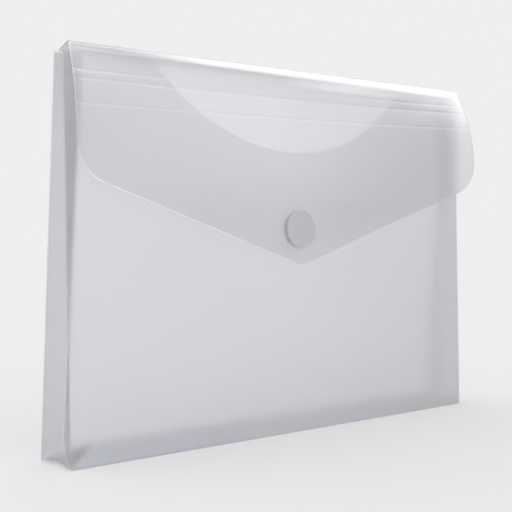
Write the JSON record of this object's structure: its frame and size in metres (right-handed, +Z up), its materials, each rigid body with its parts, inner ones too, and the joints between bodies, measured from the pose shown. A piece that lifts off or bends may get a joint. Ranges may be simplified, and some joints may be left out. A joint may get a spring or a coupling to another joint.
{
  "type": "expansion envelope",
  "caption": "Frosted plastic document envelope with folding side and bottom gussets and a pointed flap held by a hook-and-loop coin.",
  "frame": {"origin": "middle of the back panel's bottom edge, on its outer face, where the envelope stands", "axes": "+Z up, -Y towards the front of the envelope, +X to the right when seen from the front"},
  "size_m": [0.335, 0.053, 0.2392],
  "materials": {
    "panel_sheet": "frosted, translucent",
    "gusset_sheet": "frosted, translucent",
    "flap_sheet": "frosted, translucent",
    "loop_pile": "looped pile",
    "hook_tape": "moulded hooks",
    "adhesive": "clear glue layer"
  },
  "bodies": {
    "pocket_back": {"back_panel": "panel_sheet", "left_gusset": "gusset_sheet", "right_gusset": "gusset_sheet"},
    "bottom_rear_half": {"bottom_gusset_rear": "gusset_sheet"},
    "bottom_front_half": {"bottom_gusset_front": "gusset_sheet"},
    "pocket_front": {"front_panel": "panel_sheet", "loop_adhesive": "adhesive", "loop_coin": "loop_pile"},
    "spine": {"flap_spine": "flap_sheet"},
    "flap_body": {"flap": "flap_sheet", "hook_adhesive": "adhesive", "hook_coin": "hook_tape"}
  },
  "joints": [
    {"name": "pocket_fold", "type": "hinge", "parent": "pocket_back", "child": "bottom_rear_half", "pos_m": [0, -0.00058, 0.0008], "axis": [1, 0, 0], "range_deg": [-52.5, 0], "deforming": ["left_gusset", "right_gusset"]},
    {"name": "crest_fold", "type": "hinge", "parent": "bottom_rear_half", "child": "bottom_front_half", "pos_m": [0, -0.01778, 0.00914], "axis": [-1, 0, 0], "range_deg": [-125, 3]},
    {"name": "front_fold", "type": "hinge", "parent": "bottom_front_half", "child": "pocket_front", "pos_m": [0, -0.03499, 0.0008], "axis": [1, 0, 0], "range_deg": [-65, 3]},
    {"name": "spine_fold", "type": "hinge", "parent": "pocket_back", "child": "spine", "pos_m": [0, -0.02225, 0.23495], "axis": [-1, 0, 0], "range_deg": [0, 100]},
    {"name": "flap_fold", "type": "hinge", "parent": "spine", "child": "flap_body", "pos_m": [0, -0.03468, 0.23915], "axis": [-1, 0, 0], "range_deg": [0, 130]}
  ],
  "couplings": [
    {"joint": "crest_fold", "follows": "pocket_fold", "ratio": 2.2035},
    {"joint": "front_fold", "follows": "pocket_fold", "ratio": 1.0884}
  ]
}
